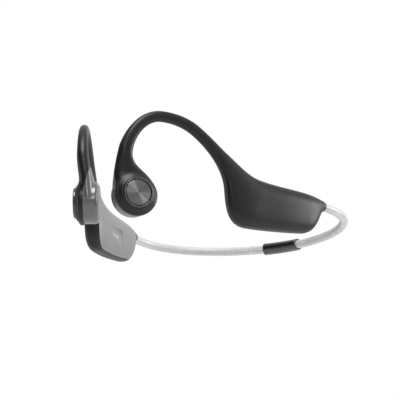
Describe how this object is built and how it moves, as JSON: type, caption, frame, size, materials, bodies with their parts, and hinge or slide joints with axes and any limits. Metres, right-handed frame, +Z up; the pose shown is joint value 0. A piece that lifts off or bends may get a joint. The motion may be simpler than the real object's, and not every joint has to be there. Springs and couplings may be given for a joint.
{
  "type": "bone conduction headphones",
  "caption": "Open-ear bone conduction headset: rear neckband, pods behind the ears, ear hooks and vibrating heads that rest in front of the ears.",
  "frame": {"origin": "middle of the bounding box, on the surface the headset rests on", "axes": "+X to the wearer's left, -Y forward out of the wearer's face, +Y to the back of the band, +Z up"},
  "size_m": [0.106, 0.136, 0.0458],
  "materials": {
    "shell": "matte soft-touch charcoal",
    "cover": "satin charcoal",
    "drum": "satin dark grey",
    "skin_silicone": "matte silicone",
    "bezel": "semi-gloss black",
    "cap_metal": "spun metal with circular brushing",
    "circuit_board": "green solder mask",
    "steel": "plain steel",
    "magnet_plating": "nickel plated",
    "copper": "enamelled copper wire",
    "spring_steel": "bright spring steel",
    "titanium": "drawn titanium wire",
    "cable_jacket": "soft cable jacket",
    "band_silicone": "pale translucent silicone",
    "plug_plastic": "moulded plastic",
    "anchor_metal": "machined metal",
    "microphone_can": "gold plated can",
    "battery_wrap": "blue film",
    "contact_metal": "bright plated contact",
    "sleeve": "glossy black"
  },
  "bodies": {
    "neckband": {"centre_sleeve": "sleeve", "wire_crimp": "anchor_metal", "left_band": "band_silicone", "left_band_wire": "titanium", "left_band_cable": "cable_jacket", "right_band": "band_silicone", "right_band_wire": "titanium", "right_band_cable": "cable_jacket"},
    "left_unit": {"left_outer_shell": "shell", "left_pod_cover": "cover", "left_head_drum": "drum", "left_skin_pad": "skin_silicone", "left_bezel_ring": "bezel", "left_switch_board": "circuit_board", "left_magnet_yoke": "steel", "left_magnet": "magnet_plating", "left_pole_plate": "steel", "left_voice_coil": "copper", "left_spring_plate": "spring_steel", "left_hook_wire": "titanium", "left_hook_cable": "cable_jacket", "left_band_plug": "plug_plastic", "left_wire_anchors": "anchor_metal", "left_microphone": "microphone_can", "battery": "battery_wrap", "battery_board": "circuit_board"},
    "right_unit": {"right_outer_shell": "shell", "right_pod_cover": "cover", "right_head_drum": "drum", "right_skin_pad": "skin_silicone", "right_bezel_ring": "bezel", "right_switch_board": "circuit_board", "right_magnet_yoke": "steel", "right_magnet": "magnet_plating", "right_pole_plate": "steel", "right_voice_coil": "copper", "right_spring_plate": "spring_steel", "right_hook_wire": "titanium", "right_hook_cable": "cable_jacket", "right_band_plug": "plug_plastic", "right_wire_anchors": "anchor_metal", "right_microphone": "microphone_can", "main_board": "circuit_board", "dock_contacts": "contact_metal", "dock_magnets": "magnet_plating"},
    "left_button": {"left_metal_cap": "cap_metal"},
    "right_button": {"right_metal_cap": "cap_metal"}
  },
  "joints": [
    {"name": "left_band_flex", "type": "hinge", "parent": "neckband", "child": "left_unit", "pos_m": [0.0357, 0.05453, 0.0128], "axis": [0, 0, 1], "range_deg": [-1, 28], "stiffness_Nm_per_rad": 0.2, "deforming": ["left_band", "left_band_wire", "left_band_cable"]},
    {"name": "right_band_flex", "type": "hinge", "parent": "neckband", "child": "right_unit", "pos_m": [-0.0357, 0.05453, 0.0128], "axis": [0, 0, -1], "range_deg": [-1, 28], "stiffness_Nm_per_rad": 0.2, "deforming": ["right_band", "right_band_wire", "right_band_cable"]},
    {"name": "left_button_press", "type": "slide", "parent": "left_unit", "child": "left_button", "axis": [-0.8387, 0.5446, 0], "range_m": [0, 0.0003], "stiffness_N_per_m": 1500},
    {"name": "right_button_press", "type": "slide", "parent": "right_unit", "child": "right_button", "axis": [0.8387, 0.5446, 0], "range_m": [0, 0.0003], "stiffness_N_per_m": 1500}
  ]
}
